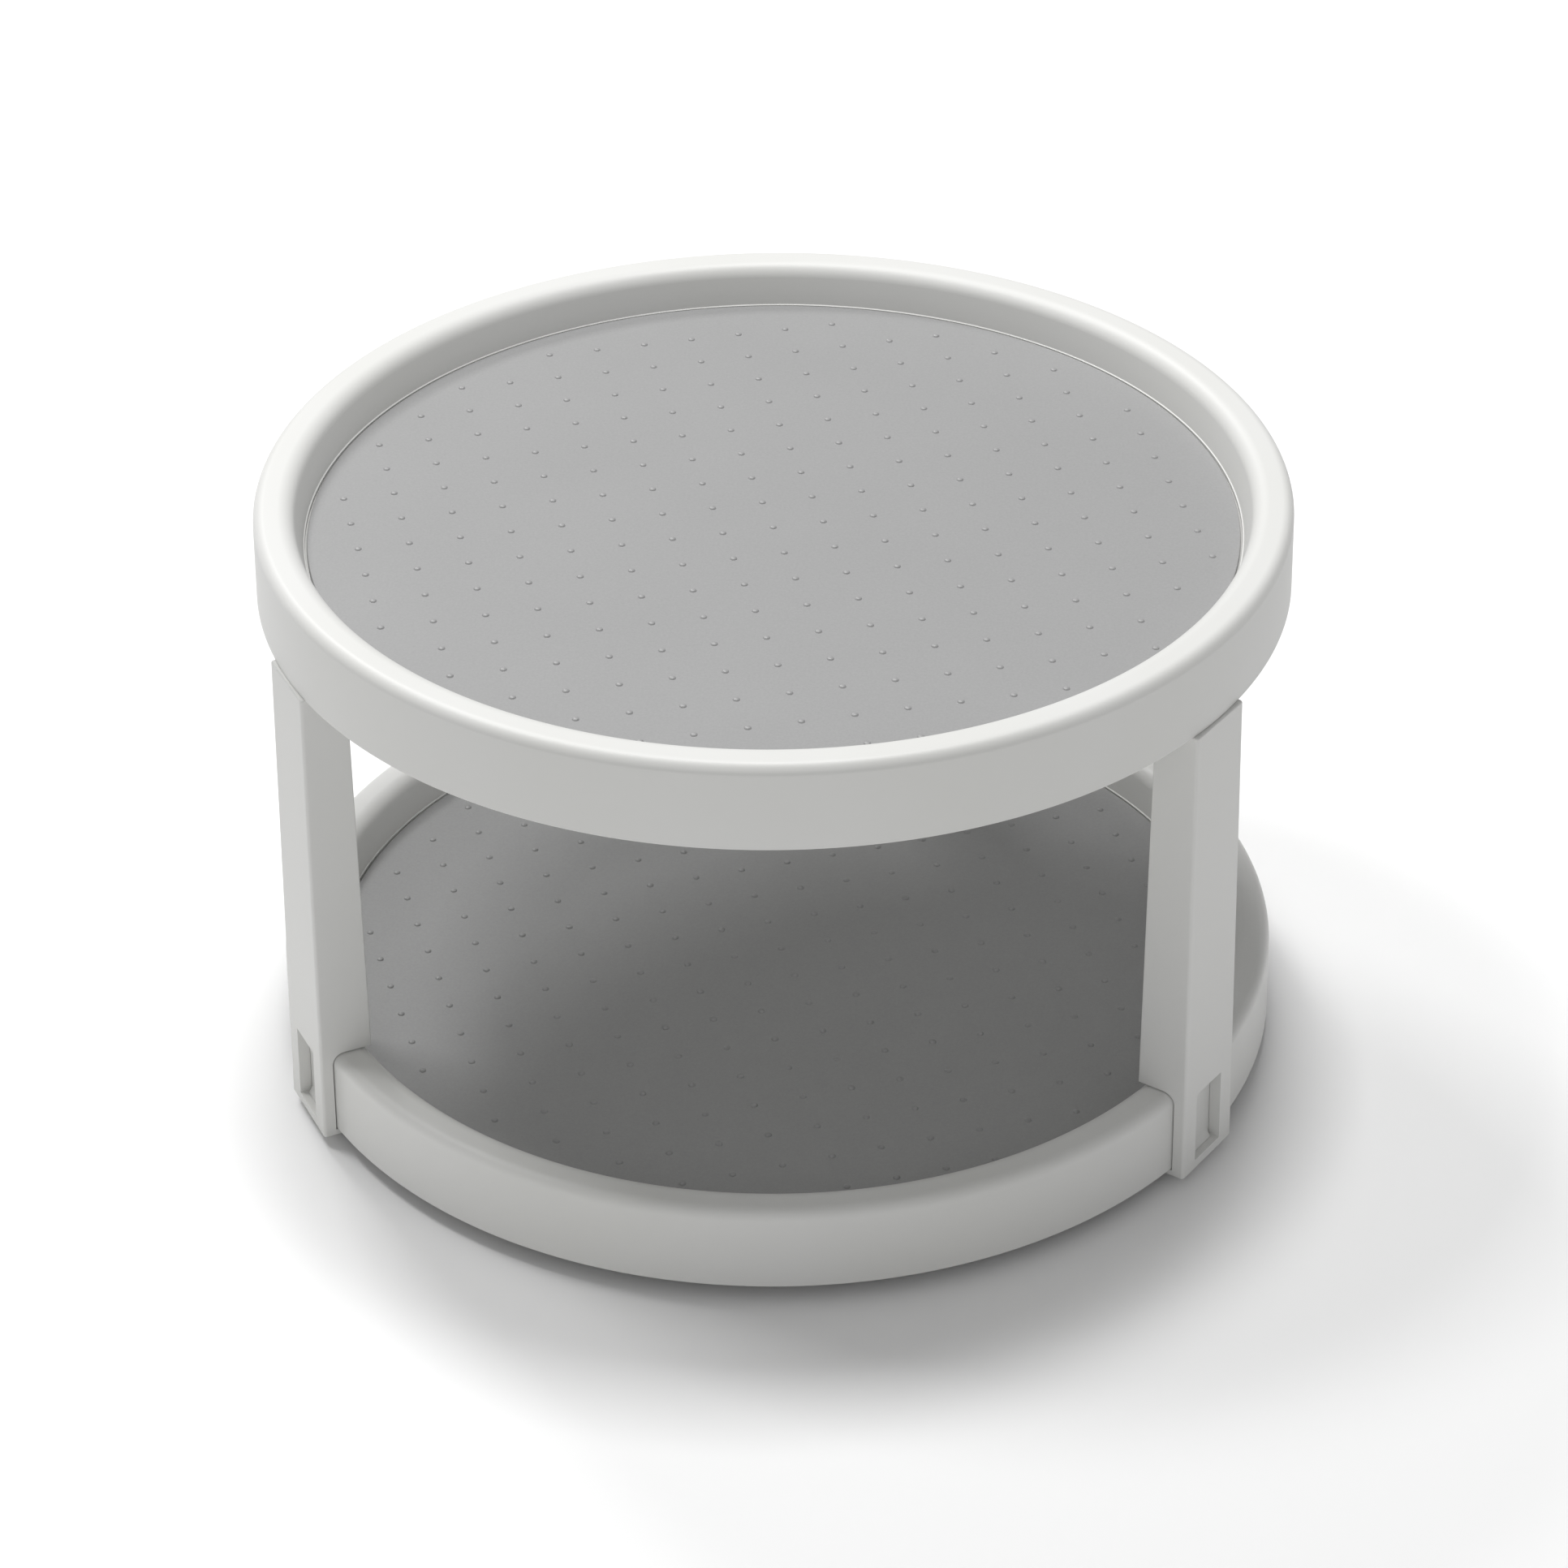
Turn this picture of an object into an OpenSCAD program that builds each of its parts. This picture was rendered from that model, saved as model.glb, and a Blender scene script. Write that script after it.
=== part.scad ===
// Two-tier lazy susan turntable: two rimmed trays on three posts, turning on a ball ring over a low base.
// Millimetres. The origin is on the turning axis, on the surface that the feet stand on, and +Z is up.
// One post stands at the back (+Y) and the other two at 60 degrees each side of the front (-Y).

/* [Trays] */
// Outer diameter of a tray at its lower edge
tray_d = 254; // [230:1:300]
// Height of a tray from its lower edge to the crest of its rim
tray_h = 22.1; // [21:0.1:26]
// Wall thickness of the mouldings
wall = 2.2; // [1.8:0.1:2.6]
// Height of the lower tray's edge above the table
lower_z = 4.8; // [4.2:0.1:5.4]
// Distance between the two tiers
tier_gap = 125.5; // [90:0.5:160]
// Width of the rim from its outer wall to its inner fillet
rim_w = 10.6; // [10:0.1:12]

/* [Mats] */
// Thickness of a mat
mat_t = 1.2; // [0.8:0.1:1.6]
// Gap between a mat and the lip round it
mat_gap = 0.2; // [0.1:0.05:0.5]

/* [Posts] */
// Width of a post at its foot
post_w = 23; // [22:0.5:28]
// Width of a post at its top
post_top_w = 20.8; // [20.5:0.1:22]
// Depth of a post at its foot, from its outer to its inner face
post_depth = 14; // [13.5:0.1:15]
// How far a post's foot stands proud of the lower tray's edge
post_proud = 3; // [2.6:0.1:3.4]
// How far a post's top stands proud of the upper tray's edge
post_top_proud = 1.2; // [0.8:0.1:2]
// Height of a post's foot above the table
post_foot_z = 3; // [2.6:0.1:3.4]
// Width of the window in a post's leg
window_w = 11.4; // [8:0.2:14]

/* [Base and bearing] */
// Outer radius of the base plate
base_r = 88; // [84:1:92]
// Number of rubber feet
foot_count = 6; // [3:1:8]
// Pitch radius of the ball ring
race_r = 70; // [66:1:72]
// Diameter of a ball
ball_d = 5; // [4.9:0.1:5]
// Number of balls
ball_count = 12; // [8:1:20]
// Radius of the centre journal
journal_r = 6; // [5:0.5:6.5]

/* [Hidden] */
$fn = 96;
eps = 0.01;
white = "#e9e9e6";
grey = "#acacac";

// Heights on a tray, from its lower edge
skirt_draft = 0.4;
crest_r = 2.8;
inner_r = 4.2;
floor_z = 10.6;
tray_r = tray_d / 2;
rim_r = tray_r - skirt_draft;
rim_in = tray_r - rim_w;
wall_draft = 1.5;
lip_w = 0.6;
lip_h = 1.1;
floor_r = rim_in - wall_draft - lip_w;
underside_z = floor_z - wall;
upper_z = lower_z + tier_gap;
fillet_steps = 8;

// Posts
post_angles = [-150, -30, 90];
post_out = tray_r + post_proud;
post_in = post_out - post_depth;
post_top_out = tray_r + post_top_proud;
fit_gap = 0.15;
post_corner = 1.2;
channel_wall = 2;
channel_z0 = lower_z + tray_h + 4;
channel_z1 = upper_z - 4;
rib_step = 24;
window_z0 = 5.5;
window_z1 = 25.3;
tongue_w = 12;
tongue_t = 2.4;
tongue_h = 9;
tongue_in = rim_in + 4.4;
tongue_lead = 0.6;
barb = 0.9;
barb_z = 3;
barb_h = 1.6;
tenon_w = 16;
tenon_h = 10;
tenon_in = rim_in + 1.7;
tenon_out = tray_r - 2.9;
socket_wall = 1.6;
catch_w = 9;
catch_h = 3;
catch_out = 1.1;
catch_root = 1;
catch_gap = 0.1;

// Base and bearing, heights from the table
base_z = 1.2;
base_t = 2.4;
base_lip_h = 2;
foot_r = 5.9;
foot_seat = 1;
foot_edge = 0.4;
foot_pitch = 79.5;
boss_r = 14;
boss_top = 6.2;
recess_r = 12;
web_z = 3.8;
bush_t = 1.5;
bush_flange_r = 10;
bush_flange_t = 1;
running_gap = 0.05;
ball_z = 8;
race_half = 7;
groove_r = 2.7;
ball_gap = 0.04;
lower_race_z = 6.8;
upper_race_z = 9.2;
cage_half = 5.5;
cage_t = 1.4;
pocket_gap = 0.1;
hub_r = 9;
hub_z = 7.5;
journal_end = 3.7;
washer_r = 10;
washer_t = 0.8;
screw_r = 1.5;
screw_top = 11.5;
head_r = 4;
head_h = 1.6;
head_round = 0.8;
recess_l = 4.4;
recess_w = 0.9;
recess_d = 0.9;
rib_t = 1.6;

// Points of a quarter-round fillet, from angle a0 to a1 about the centre c
function fillet(c, r, a0, a1) =
    [for (i = [0:fillet_steps]) let (a = a0 + (a1 - a0) * i / fillet_steps) c + r * [cos(a), sin(a)]];

// Outer skin of a tray's section, from the floor up over the crest and down to the lower edge,
// swollen by g for anything that has to clear it
function skin(g) = concat(
    [[tray_r + g, -g], [rim_r + g, tray_h - crest_r]],
    fillet([rim_r - crest_r, tray_h - crest_r], crest_r + g, 0, 90),
    fillet([rim_in + inner_r, tray_h - inner_r], inner_r + g, 90, 180),
    [[rim_in - wall_draft, floor_z + lip_h + g]]
);

// Hollow side of the rim
function cavity() = concat(
    [[floor_r + wall, underside_z]],
    fillet([rim_in + inner_r, tray_h - inner_r], inner_r - wall, 180, 90),
    fillet([rim_r - crest_r, tray_h - crest_r], crest_r - wall, 90, 0),
    [[tray_r - wall, 0]]
);

module tray_section() {
    polygon(concat(
        skin(0),
        [[floor_r, floor_z + lip_h], [floor_r, floor_z], [0, floor_z], [0, underside_z]],
        cavity()
    ));
}

// The rim as if it were solid, for cutting the posts and the sockets to it
module rim_solid(g) {
    rotate_extrude($fn = 180)
        polygon(concat(skin(g), [[rim_in - wall_draft, -g]]));
}

// A radial rib under a tray's floor, of height h
module floor_rib(r0, r1, h) {
    translate([r0, -rib_t / 2, underside_z - h])
        cube([r1 - r0, rib_t, h + eps]);
}

// A ring under a tray's floor, of height h
module floor_ring(r, h) {
    translate([0, 0, underside_z - h])
        difference() {
            cylinder(r = r + rib_t / 2, h = h + eps);
            translate([0, 0, -1])
                cylinder(r = r - rib_t / 2, h = h + 2);
        }
}

// Places its children at every post, with +X pointing outwards
module at_posts() {
    for (a = post_angles)
        rotate([0, 0, a])
            children();
}

module mat() {
    translate([0, 0, floor_z])
        cylinder(r = floor_r - mat_gap, h = mat_t, $fn = 180);
}

// Open box under the upper rim that a post's tenon plugs into
module socket() {
    side = tenon_w / 2 + fit_gap;
    intersection() {
        union() {
            for (s = [-1, 1])
                translate([tenon_in - fit_gap - socket_wall, s > 0 ? side : -side - socket_wall, 0])
                    cube([tray_r - tenon_in, socket_wall, tray_h - wall + eps]);
            translate([tenon_in - fit_gap - socket_wall, -side - eps, 0])
                cube([socket_wall, 2 * side + 2 * eps, underside_z + wall / 2]);
        }
        rotate_extrude($fn = 180)
            polygon(concat(skin(-wall / 2), [[tenon_in - 2 * socket_wall - 1, -1], [tray_r, -1]]));
    }
}

module upper_tray() {
    color(white)
        translate([0, 0, upper_z]) {
            rotate_extrude($fn = 180)
                tray_section();
            at_posts()
                socket();
            for (r = [30, 72])
                floor_ring(r, 1.5);
            for (a = [0:60:300])
                rotate([0, 0, a])
                    floor_rib(30, floor_r - 1, 1.2);
        }
}

module upper_mat() {
    color(grey)
        translate([0, 0, upper_z])
            mat();
}

// Ramped catch on the skirt, which holds down the bar below a post's window
module skirt_catch() {
    x0 = tray_r - catch_root;
    z0 = window_z0 + catch_gap - lower_z;
    translate([0, catch_w / 2, 0])
        rotate([90, 0, 0])
            linear_extrude(catch_w)
                polygon([[x0, z0], [tray_r + catch_out, z0], [rim_r, z0 + catch_h], [x0, z0 + catch_h]]);
}

// Ring groove that a ball runs in, at height z
module race_groove(z) {
    translate([0, 0, z])
        rotate_extrude($fn = 180)
            translate([race_r, 0])
                circle(r = groove_r, $fn = 48);
}

module race_ring(z0, z1) {
    translate([0, 0, z0])
        difference() {
            cylinder(r = race_r + race_half, h = z1 - z0);
            translate([0, 0, -1])
                cylinder(r = race_r - race_half, h = z1 - z0 + 2);
        }
}

module lower_tray() {
    floor_under = lower_z + underside_z;
    color(white)
        difference() {
            union() {
                translate([0, 0, lower_z]) {
                    rotate_extrude($fn = 180)
                        tray_section();
                    at_posts()
                        skirt_catch();
                    floor_ring(100, 1.8);
                    for (a = [0:60:300])
                        rotate([0, 0, a]) {
                            floor_rib(hub_r - 1, race_r - race_half + 1, 1.5);
                            floor_rib(race_r + race_half - 1, floor_r - 1, 1.5);
                        }
                }
                race_ring(upper_race_z, floor_under + eps);
                translate([0, 0, hub_z])
                    cylinder(r = hub_r, h = floor_under - hub_z + eps);
                translate([0, 0, journal_end])
                    cylinder(r = journal_r, h = floor_under - journal_end);
            }
            race_groove(ball_z + ball_d / 2 + ball_gap - groove_r);
            translate([0, 0, journal_end - 1])
                cylinder(r = screw_r, h = screw_top - journal_end + 1.5, $fn = 32);
            translate([0, 0, lower_z])
                at_posts()
                    translate([tongue_in - fit_gap, -tongue_w / 2 - fit_gap, tray_h - wall - 2])
                        cube([tongue_t + 2 * fit_gap + barb, tongue_w + 2 * fit_gap, wall + 4]);
        }
}

module lower_mat() {
    color(grey)
        translate([0, 0, lower_z])
            mat();
}

// Face of a post seen from outside: wider at its foot, with its height up z
module post_face() {
    polygon([
        [-post_w / 2, post_foot_z],
        [post_w / 2, post_foot_z],
        [post_top_w / 2, upper_z],
        [-post_top_w / 2, upper_z]
    ]);
}

// Side of a post: its outer face leans in towards its top, with its height up z
module post_side() {
    polygon([
        [post_in - 1, post_foot_z],
        [post_out, post_foot_z],
        [post_top_out, upper_z],
        [post_in - 1, upper_z]
    ]);
}

// Plan of a post, with its two outer corners rounded
module post_plan() {
    far = post_w / 2;
    corner_x = post_out - post_corner;
    translate([post_in, -far])
        square([post_depth - post_corner, post_w]);
    translate([corner_x - eps, -far + post_corner])
        square([post_corner + eps, post_w - 2 * post_corner]);
    for (s = [-1, 1])
        translate([corner_x, s * (far - post_corner)])
            circle(r = post_corner, $fn = 32);
}

// Snap tongue that goes down through the slot in the lower rim
module tongue() {
    top = lower_z + tray_h + 1;
    low = lower_z + tray_h - tongue_h;
    x0 = tongue_in;
    x1 = tongue_in + tongue_t;
    translate([0, tongue_w / 2, 0])
        rotate([90, 0, 0])
            linear_extrude(tongue_w)
                polygon([
                    [x0, top], [x0, low], [x1 - tongue_lead, low],
                    [x1 + barb, low + barb_z], [x1 + barb, low + barb_z + barb_h],
                    [x1, low + barb_z + barb_h + tongue_lead], [x1, top]
                ]);
}

// A post, standing along +X
module post() {
    crest_z = lower_z + tray_h;
    color(white) {
        difference() {
            intersection() {
                translate([0, 0, post_foot_z])
                    linear_extrude(upper_z - post_foot_z)
                        post_plan();
                rotate([90, 0, 90])
                    linear_extrude(post_out + 1)
                        post_face();
                translate([0, post_w, 0])
                    rotate([90, 0, 0])
                        linear_extrude(2 * post_w)
                            post_side();
            }
            // saddle over the lower rim
            translate([0, 0, lower_z])
                rim_solid(fit_gap);
            // space inside the rim's inner fillet, and under the skirt behind the hook
            translate([post_in - 1, -post_w, post_foot_z - 1])
                cube([rim_in - post_in + 2, 2 * post_w, crest_z - post_foot_z - 1]);
            translate([post_in - 1, -post_w, post_foot_z - 1])
                cube([tray_r - wall - post_in + 1, 2 * post_w, lower_z - post_foot_z + 2]);
            // window in the leg
            translate([tray_r - 2, -window_w / 2, window_z0])
                cube([post_proud + 3, window_w, window_z1 - window_z0]);
            // moulded channel, open towards the axis, crossed by ribs
            for (z = [channel_z0:rib_step:channel_z1 - rib_step / 2])
                translate([post_in - 1, -post_top_w / 2 + channel_wall, z])
                    cube([
                        post_depth - channel_wall + 1,
                        post_top_w - 2 * channel_wall,
                        min(rib_step - channel_wall, channel_z1 - z)
                    ]);
        }
        tongue();
        // tenon for the upper rim
        translate([tenon_in, -tenon_w / 2, upper_z - 1])
            cube([tenon_out - tenon_in, tenon_w, tenon_h + 1]);
    }
}

module post_left() rotate([0, 0, post_angles[0]]) post();
module post_right() rotate([0, 0, post_angles[1]]) post();
module post_back() rotate([0, 0, post_angles[2]]) post();

module base_plate() {
    top = base_z + base_t;
    color(white)
        difference() {
            union() {
                translate([0, 0, base_z])
                    cylinder(r = base_r, h = base_t);
                race_ring(top - eps, lower_race_z);
                translate([0, 0, top - eps])
                    cylinder(r = boss_r, h = boss_top - top + eps);
                // stiffening ribs between the boss and the race
                for (a = [30:60:330])
                    rotate([0, 0, a])
                        translate([boss_r - 1, -rib_t / 2, top - eps])
                            cube([race_r - race_half - boss_r + 2, rib_t, base_lip_h]);
                // upturned edge
                translate([0, 0, top - eps])
                    difference() {
                        cylinder(r = base_r, h = base_lip_h);
                        translate([0, 0, -1])
                            cylinder(r = base_r - wall, h = base_lip_h + 2);
                    }
            }
            race_groove(ball_z - ball_d / 2 - ball_gap + groove_r);
            translate([0, 0, base_z - 1])
                cylinder(r = recess_r, h = web_z - base_z + 1);
            cylinder(r = journal_r + running_gap + bush_t, h = boss_top + 1);
            at_feet()
                translate([0, 0, -1])
                    cylinder(r = foot_r + 0.1, h = base_z + foot_seat + 1, $fn = 48);
        }
}

// Places its children at every foot
module at_feet() {
    for (i = [1:foot_count])
        at_foot(i)
            children();
}

module at_foot(i) {
    rotate([0, 0, i * 360 / foot_count])
        translate([foot_pitch, 0, 0])
            children();
}

// Rubber pad with a rounded lower edge
module foot(i) {
    color("#3a3a3a")
        at_foot(i)
            rotate_extrude($fn = 48)
                polygon([
                    [0, 0], [foot_r - foot_edge, 0], [foot_r - 0.3 * foot_edge, 0.3 * foot_edge],
                    [foot_r, foot_edge], [foot_r, base_z + foot_seat], [0, base_z + foot_seat]
                ]);
}

module pivot_bush() {
    bore = journal_r + running_gap;
    color("ivory")
        difference() {
            union() {
                translate([0, 0, web_z])
                    cylinder(r = bore + bush_t, h = boss_top - web_z + eps);
                translate([0, 0, boss_top])
                    cylinder(r = bush_flange_r, h = bush_flange_t);
            }
            cylinder(r = bore, h = 2 * boss_top);
        }
}

module pivot_washer() {
    color("silver")
        translate([0, 0, journal_end - washer_t])
            difference() {
                cylinder(r = washer_r, h = washer_t);
                translate([0, 0, -1])
                    cylinder(r = screw_r + 0.2, h = washer_t + 2, $fn = 32);
            }
}

// Pan-head screw driven up into the journal, with a cross recess
module pivot_screw() {
    head_z = journal_end - washer_t - head_h;
    color("silver")
        difference() {
            union() {
                translate([0, 0, head_z])
                    rotate_extrude($fn = 48)
                        polygon([
                            [0, 0], [head_r - head_round, 0], [head_r - head_round / 4, head_round / 2],
                            [head_r, head_round], [head_r, head_h], [0, head_h]
                        ]);
                translate([0, 0, head_z + head_h - eps])
                    cylinder(r = screw_r, h = screw_top - head_z - head_h, $fn = 32);
            }
            for (a = [0, 90])
                rotate([0, 0, a])
                    translate([-recess_l / 2, -recess_w / 2, head_z - 1])
                        cube([recess_l, recess_w, recess_d + 1]);
        }
}

// Flat ring with a boss and a pocket at every ball
module ball_cage() {
    boss = ball_d / 2 + 1.6;
    boss_t = cage_t + 0.5;
    color("ivory")
        difference() {
            union() {
                translate([0, 0, ball_z - cage_t / 2])
                    difference() {
                        cylinder(r = race_r + cage_half, h = cage_t);
                        translate([0, 0, -1])
                            cylinder(r = race_r - cage_half, h = cage_t + 2);
                    }
                at_balls()
                    translate([0, 0, ball_z - boss_t / 2])
                        cylinder(r = boss, h = boss_t, $fn = 32);
            }
            at_balls()
                cylinder(r = ball_d / 2 + pocket_gap, h = 2 * ball_z, $fn = 48);
        }
}

module at_balls() {
    for (i = [1:ball_count])
        at_ball(i)
            children();
}

module at_ball(i) {
    rotate([0, 0, i * 360 / ball_count])
        translate([race_r, 0, 0])
            children();
}

module ball(i) {
    color("gainsboro")
        at_ball(i)
            translate([0, 0, ball_z])
                sphere(d = ball_d, $fn = 32);
}

base_plate();
for (i = [1:foot_count]) foot(i);
pivot_bush();
ball_cage();
for (i = [1:ball_count]) ball(i);
lower_tray();
lower_mat();
post_left();
post_right();
post_back();
upper_tray();
upper_mat();
pivot_washer();
pivot_screw();
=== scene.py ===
from math import radians

import bmesh
import bpy
from mathutils import Matrix, Vector


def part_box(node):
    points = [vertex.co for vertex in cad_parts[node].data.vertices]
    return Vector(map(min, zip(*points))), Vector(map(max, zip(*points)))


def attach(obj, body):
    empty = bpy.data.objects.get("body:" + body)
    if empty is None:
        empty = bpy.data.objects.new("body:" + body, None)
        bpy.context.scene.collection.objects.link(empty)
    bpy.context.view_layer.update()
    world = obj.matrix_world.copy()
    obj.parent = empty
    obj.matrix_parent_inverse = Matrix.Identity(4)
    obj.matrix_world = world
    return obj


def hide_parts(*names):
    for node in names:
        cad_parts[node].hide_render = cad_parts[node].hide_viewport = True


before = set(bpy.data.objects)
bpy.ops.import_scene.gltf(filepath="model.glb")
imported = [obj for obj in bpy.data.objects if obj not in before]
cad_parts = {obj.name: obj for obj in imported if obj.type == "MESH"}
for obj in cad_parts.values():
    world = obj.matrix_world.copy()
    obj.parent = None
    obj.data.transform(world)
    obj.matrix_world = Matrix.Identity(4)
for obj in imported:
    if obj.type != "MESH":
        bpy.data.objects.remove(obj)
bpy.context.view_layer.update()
mm = 0.001
print("frame loaded:", len(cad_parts), "nodes")

# camera

cameraLook = {
    "lens": 109.6,  # millimetres, as the sensor
    "sensor": 36,
    "clipEnd": 20,  # metres, as the next two
    "target": (0.0020, 0.0002, 0.0651),
    "distance": 1.212,
    "azimuth": 5.36,  # degrees round from the front, towards +X
    "elevation": 33.17,
    "roll": -0.476,
}


def makeCamera(look):
    data = bpy.data.cameras.new("studioCamera")
    data.lens = look["lens"]
    data.sensor_width = look["sensor"]
    data.clip_end = look["clipEnd"]
    camera = bpy.data.objects.new("studioCamera", data)
    bpy.context.scene.collection.objects.link(camera)
    turn = (
        Matrix.Rotation(radians(look["azimuth"]), 4, "Z")
        @ Matrix.Rotation(radians(90 - look["elevation"]), 4, "X")
        @ Matrix.Rotation(radians(look["roll"]), 4, "Z")
    )
    back = turn.to_3x3() @ Vector((0, 0, 1))
    place = Vector(look["target"]) + back * look["distance"]
    camera.matrix_world = Matrix.Translation(place) @ turn
    bpy.context.scene.camera = camera


makeCamera(cameraLook)
print("camera placed")

# small tools for modelling

# millimetres, but for the angle
mergeDistance = 0.0004
nearby = 0.1  # the slack in picking corners by their place
past = 1  # how far a cutting shape, or one to be joined, runs past where it ends
smoothAngle = 32  # degrees


def deselectAll():
    for thing in list(bpy.context.selected_objects):
        thing.select_set(False)


def onlySelect(piece):
    deselectAll()
    piece.select_set(True)
    bpy.context.view_layer.objects.active = piece


def justMade(name):
    piece = bpy.context.active_object
    piece.name = name
    piece.data.name = name
    bpy.ops.object.transform_apply(location=True, rotation=True, scale=True)
    return piece


def addCylinder(name, radius, lowZ, highZ, steps=240, x=0.0, y=0.0):
    deselectAll()
    bpy.ops.mesh.primitive_cylinder_add(
        vertices=steps, radius=radius * mm, depth=(highZ - lowZ) * mm,
        location=(x * mm, y * mm, (lowZ + highZ) / 2 * mm),
    )
    return justMade(name)


def addBox(name, low, high):
    deselectAll()
    bpy.ops.mesh.primitive_cube_add(
        size=1,
        location=[(a + b) / 2 * mm for a, b in zip(low, high)],
        scale=[(b - a) * mm for a, b in zip(low, high)],
    )
    return justMade(name)


def edit(piece, kind):
    onlySelect(piece)
    bpy.ops.object.mode_set(mode="EDIT")
    bpy.ops.mesh.select_mode(type=kind)
    bpy.ops.mesh.select_all(action="DESELECT")


def leaveEdit():
    bpy.ops.object.mode_set(mode="OBJECT")


# selects the faces or edges whose corners all pass the test, which is given each corner in millimetres
def pick(piece, kind, test, add=False):
    mesh = bmesh.from_edit_mesh(piece.data)
    if not add:
        bpy.ops.mesh.select_all(action="DESELECT")
    found = 0
    for part in getattr(mesh, kind):
        if all(test(corner.co / mm) for corner in part.verts):
            part.select_set(True)
            found += 1
    mesh.select_flush_mode()
    bmesh.update_edit_mesh(piece.data)
    if not found:
        raise ValueError("nothing picked on " + piece.name)


# a test for pick: the corner lies between two radii, at the height z
def ring(inner, outer, z, slack=0.06):
    def test(corner):
        radius = corner.xy.length
        return inner - slack < radius < outer + slack and abs(corner.z - z) < slack
    return test


def inset(thickness):
    bpy.ops.mesh.inset(thickness=thickness * mm, depth=0, use_even_offset=True)


def extrude(height):
    bpy.ops.mesh.extrude_region_move(TRANSFORM_OT_translate={"value": (0, 0, height * mm)})


def resizeTo(now, wanted):
    bpy.ops.transform.resize(value=(wanted / now, wanted / now, 1))


def roundEdges(piece, test, width, segments):
    bpy.ops.mesh.select_mode(type="EDGE")
    pick(piece, "edges", test)
    bpy.ops.mesh.bevel(offset=width * mm, segments=segments, profile=0.5, affect="EDGES")
    bpy.ops.mesh.select_mode(type="FACE")


def facesOut(piece):
    edit(piece, "FACE")
    bpy.ops.mesh.select_all(action="SELECT")
    bpy.ops.mesh.remove_doubles(threshold=mergeDistance * mm)
    bpy.ops.mesh.normals_make_consistent(inside=False)
    leaveEdit()


def boolean(piece, tool, how):
    onlySelect(piece)
    change = piece.modifiers.new(how, "BOOLEAN")
    change.operation = how
    change.object = tool
    change.solver = "EXACT"
    bpy.ops.object.modifier_apply(modifier=change.name)
    bpy.data.objects.remove(tool)


def copyTurned(piece, angle):
    twin = piece.copy()
    twin.data = piece.data.copy()
    bpy.context.scene.collection.objects.link(twin)
    twin.data.transform(Matrix.Rotation(radians(angle), 4, "Z"))
    return twin


def joinAll(pieces, name):
    onlySelect(pieces[0])
    for piece in pieces[1:]:
        piece.select_set(True)
    bpy.ops.object.join()
    pieces[0].name = name
    return pieces[0]


def smooth(piece, angle=smoothAngle):
    onlySelect(piece)
    bpy.ops.object.shade_smooth_by_angle(angle=radians(angle))
    # the large faces keep their own shading up to the small rounds beside them
    change = piece.modifiers.new("normals", "WEIGHTED_NORMAL")
    change.keep_sharp = True
    bpy.ops.object.modifier_apply(modifier=change.name)


# materials

mouldedLook = {
    "flow": 14,  # noise cells to a metre
    "grain": 0.7,  # millimetres; real spark grain is about 0.1 and wouldn't show
    "grainDepth": 0.05,
    "grainStrength": 0.05,
    "lowGloss": 0.42,
    "highGloss": 0.5,
    "tintFrom": 0.35,
    "tintTo": 0.65,
    "ior": 1.49,
}
rubberLook = {
    "cloud": 30,
    "cloudShare": 0.3,
    "skinStrength": 0.3,
    "roughness": 0.42,
    "tintFrom": 0.4,
    "tintTo": 0.9,
    "ior": 1.5,
}


def fromHex(text):
    parts = [int(text[i:i + 2], 16) / 255 for i in (1, 3, 5)]
    return [p / 12.92 if p <= 0.04045 else ((p + 0.055) / 1.055) ** 2.4 for p in parts] + [1.0]


# adds a node, sets its properties and input values, and links other nodes' outputs into its inputs
def addNode(tree, kind, settings=None, values=None, links=None):
    node = tree.nodes.new(kind)
    for key, value in (settings or {}).items():
        setattr(node, key, value)
    for key, value in (values or {}).items():
        node.inputs[key].default_value = value
    for key, source in (links or {}).items():
        tree.links.new(source, node.inputs[key])
    return node


def newMaterial(name):
    material = bpy.data.materials.new(name)
    material.use_nodes = True
    material.node_tree.nodes.clear()
    return material, material.node_tree


# polypropylene, injection moulded in a spark-finished tool: satin, with a faint uneven gloss
def makeMouldedWhite(name, colour, shade, look):
    material, tree = newMaterial(name)
    place = addNode(tree, "ShaderNodeTexCoord").outputs["Object"]
    flow = addNode(
        tree, "ShaderNodeTexNoise", {}, {"Scale": look["flow"], "Detail": 3, "Roughness": 0.5},
        {"Vector": place},
    )
    grain = addNode(
        tree, "ShaderNodeTexNoise", {}, {"Scale": 1 / (look["grain"] * mm), "Detail": 2}, {"Vector": place}
    )
    tint = addNode(tree, "ShaderNodeValToRGB", {}, {}, {"Fac": flow.outputs["Fac"]})
    tint.color_ramp.elements[0].position = look["tintFrom"]
    tint.color_ramp.elements[0].color = fromHex(shade)
    tint.color_ramp.elements[1].position = look["tintTo"]
    tint.color_ramp.elements[1].color = fromHex(colour)
    gloss = addNode(
        tree, "ShaderNodeMapRange", {}, {"To Min": look["lowGloss"], "To Max": look["highGloss"]},
        {"Value": flow.outputs["Fac"]},
    )
    bump = addNode(
        tree, "ShaderNodeBump", {}, {"Strength": look["grainStrength"], "Distance": look["grainDepth"] * mm},
        {"Height": grain.outputs["Fac"]},
    )
    shader = addNode(
        tree, "ShaderNodeBsdfPrincipled", {}, {"IOR": look["ior"], "Metallic": 0},
        {
            "Base Color": tint.outputs["Color"],
            "Roughness": gloss.outputs["Result"],
            "Normal": bump.outputs["Normal"],
        },
    )
    addNode(tree, "ShaderNodeOutputMaterial", {}, {}, {"Surface": shader.outputs["BSDF"]})
    return material


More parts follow.
